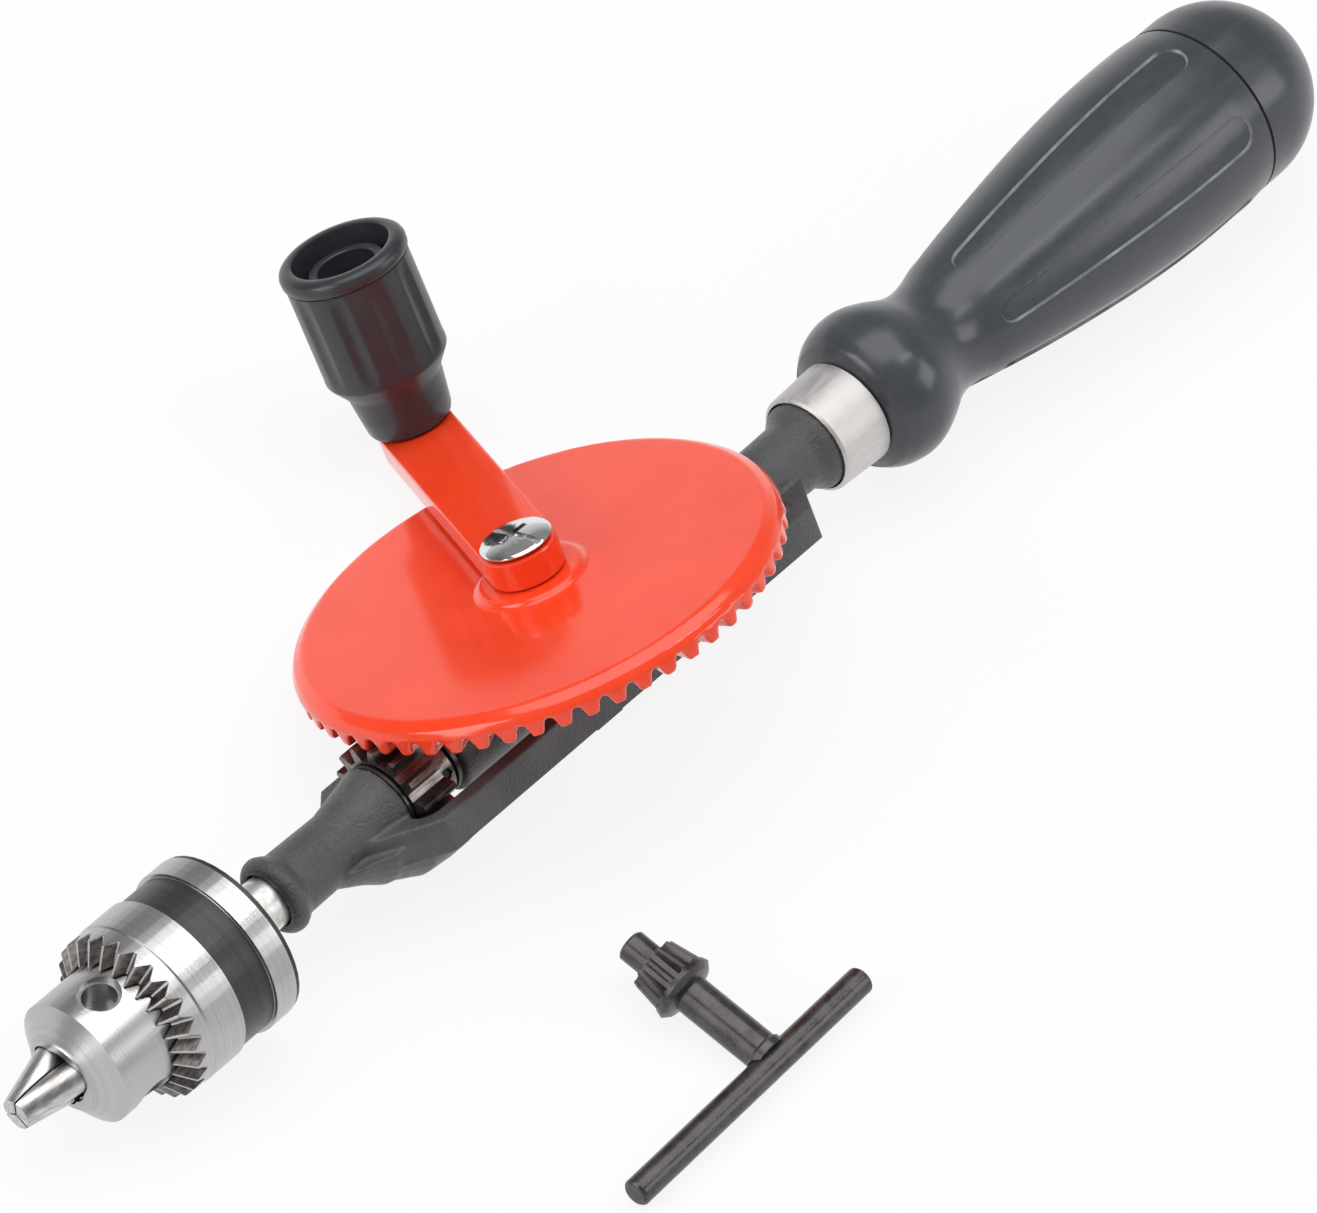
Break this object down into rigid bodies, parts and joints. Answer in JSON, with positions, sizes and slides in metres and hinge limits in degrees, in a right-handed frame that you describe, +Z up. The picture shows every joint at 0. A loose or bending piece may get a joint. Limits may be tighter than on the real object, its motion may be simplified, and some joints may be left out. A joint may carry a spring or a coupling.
{
  "type": "hand drill",
  "caption": "Geared hand drill with a crank knob, hollow plastic handle and keyed chuck, lying on the floor with its chuck key beside it.",
  "frame": {"origin": "on the floor, under the middle of the box round the drill as it lies and its key", "axes": "+X along the floor in the direction of the spindle, from the handle to the jaws; +Z up from the floor that the drill lies on; +Y to the side where the chuck key lies"},
  "size_m": [0.3556, 0.1796, 0.0563],
  "materials": {
    "iron": "black enamel over sand casting",
    "red": "glossy enamel",
    "steel": "machined",
    "satin": "finely turned",
    "bright": "zinc plated",
    "screw": "bright plated",
    "dark": "black oxide",
    "handle": "moulded, half gloss",
    "knob": "moulded"
  },
  "bodies": {
    "frame": {"frame_casting": "iron", "front_washer": "bright", "rear_washer": "bright", "thrust_ball": "bright", "ferrule": "satin", "handle_shell": "handle"},
    "cap": {"handle_cap": "handle"},
    "crank": {"drive_gear": "red", "gear_axle": "bright", "axle_washer": "bright", "axle_nut": "dark", "crank_arm": "red", "crank_screw": "screw", "knob_pin": "bright"},
    "grip": {"knob": "knob"},
    "spindle_set": {"spindle": "bright", "drive_pinion": "steel", "pinion_pin": "dark", "retaining_screw": "dark", "chuck_body": "satin"},
    "sleeve": {"chuck_sleeve": "satin", "chuck_thrust_ring": "bright"},
    "jaw_a": {"jaw_1": "satin"},
    "jaw_b": {"jaw_2": "satin"},
    "jaw_c": {"jaw_3": "satin"},
    "key": {"key_shank": "dark", "key_bar": "dark"}
  },
  "joints": [
    {"name": "crank_turn", "type": "hinge", "parent": "frame", "child": "crank", "pos_m": [0.03329, 0.00294, 0.01853], "axis": [0.0076, -0.5188, 0.8549], "continuous": true},
    {"name": "spindle_turn", "type": "hinge", "parent": "frame", "child": "spindle_set", "pos_m": [0.03329, 0.00294, 0.01853], "axis": [1, 0, -0.0089], "continuous": true},
    {"name": "knob_spin", "type": "hinge", "parent": "crank", "child": "grip", "pos_m": [0.00501, -0.05984, 0.00934], "axis": [0.0076, -0.5188, 0.8549], "continuous": true},
    {"name": "sleeve_turn", "type": "hinge", "parent": "spindle_set", "child": "sleeve", "pos_m": [0.03329, 0.00294, 0.01853], "axis": [1, 0, -0.0089], "range_deg": [0, 4320]},
    {"name": "jaw_1_slide", "type": "slide", "parent": "spindle_set", "child": "jaw_a", "axis": [-0.9563, 0.2306, 0.18], "range_m": [0, 0.0174]},
    {"name": "jaw_2_slide", "type": "slide", "parent": "spindle_set", "child": "jaw_b", "axis": [-0.9568, -0.2638, 0.1224], "range_m": [0, 0.0174]},
    {"name": "jaw_3_slide", "type": "slide", "parent": "spindle_set", "child": "jaw_c", "axis": [-0.9603, 0.0333, -0.2769], "range_m": [0, 0.0174]},
    {"name": "cap_pull", "type": "slide", "parent": "frame", "child": "cap", "axis": [-1, 0, 0.0089], "range_m": [0, 0.03]},
    {"name": "key_lift", "type": "slide", "parent": "frame", "child": "key", "axis": [0, 0, 1], "range_m": [0, 0.06]}
  ],
  "couplings": [
    {"joint": "spindle_turn", "follows": "crank_turn", "ratio": -4},
    {"joint": "jaw_1_slide", "follows": "sleeve_turn", "m_per_rad": 0.00023078},
    {"joint": "jaw_2_slide", "follows": "sleeve_turn", "m_per_rad": 0.00023078},
    {"joint": "jaw_3_slide", "follows": "sleeve_turn", "m_per_rad": 0.00023078}
  ]
}
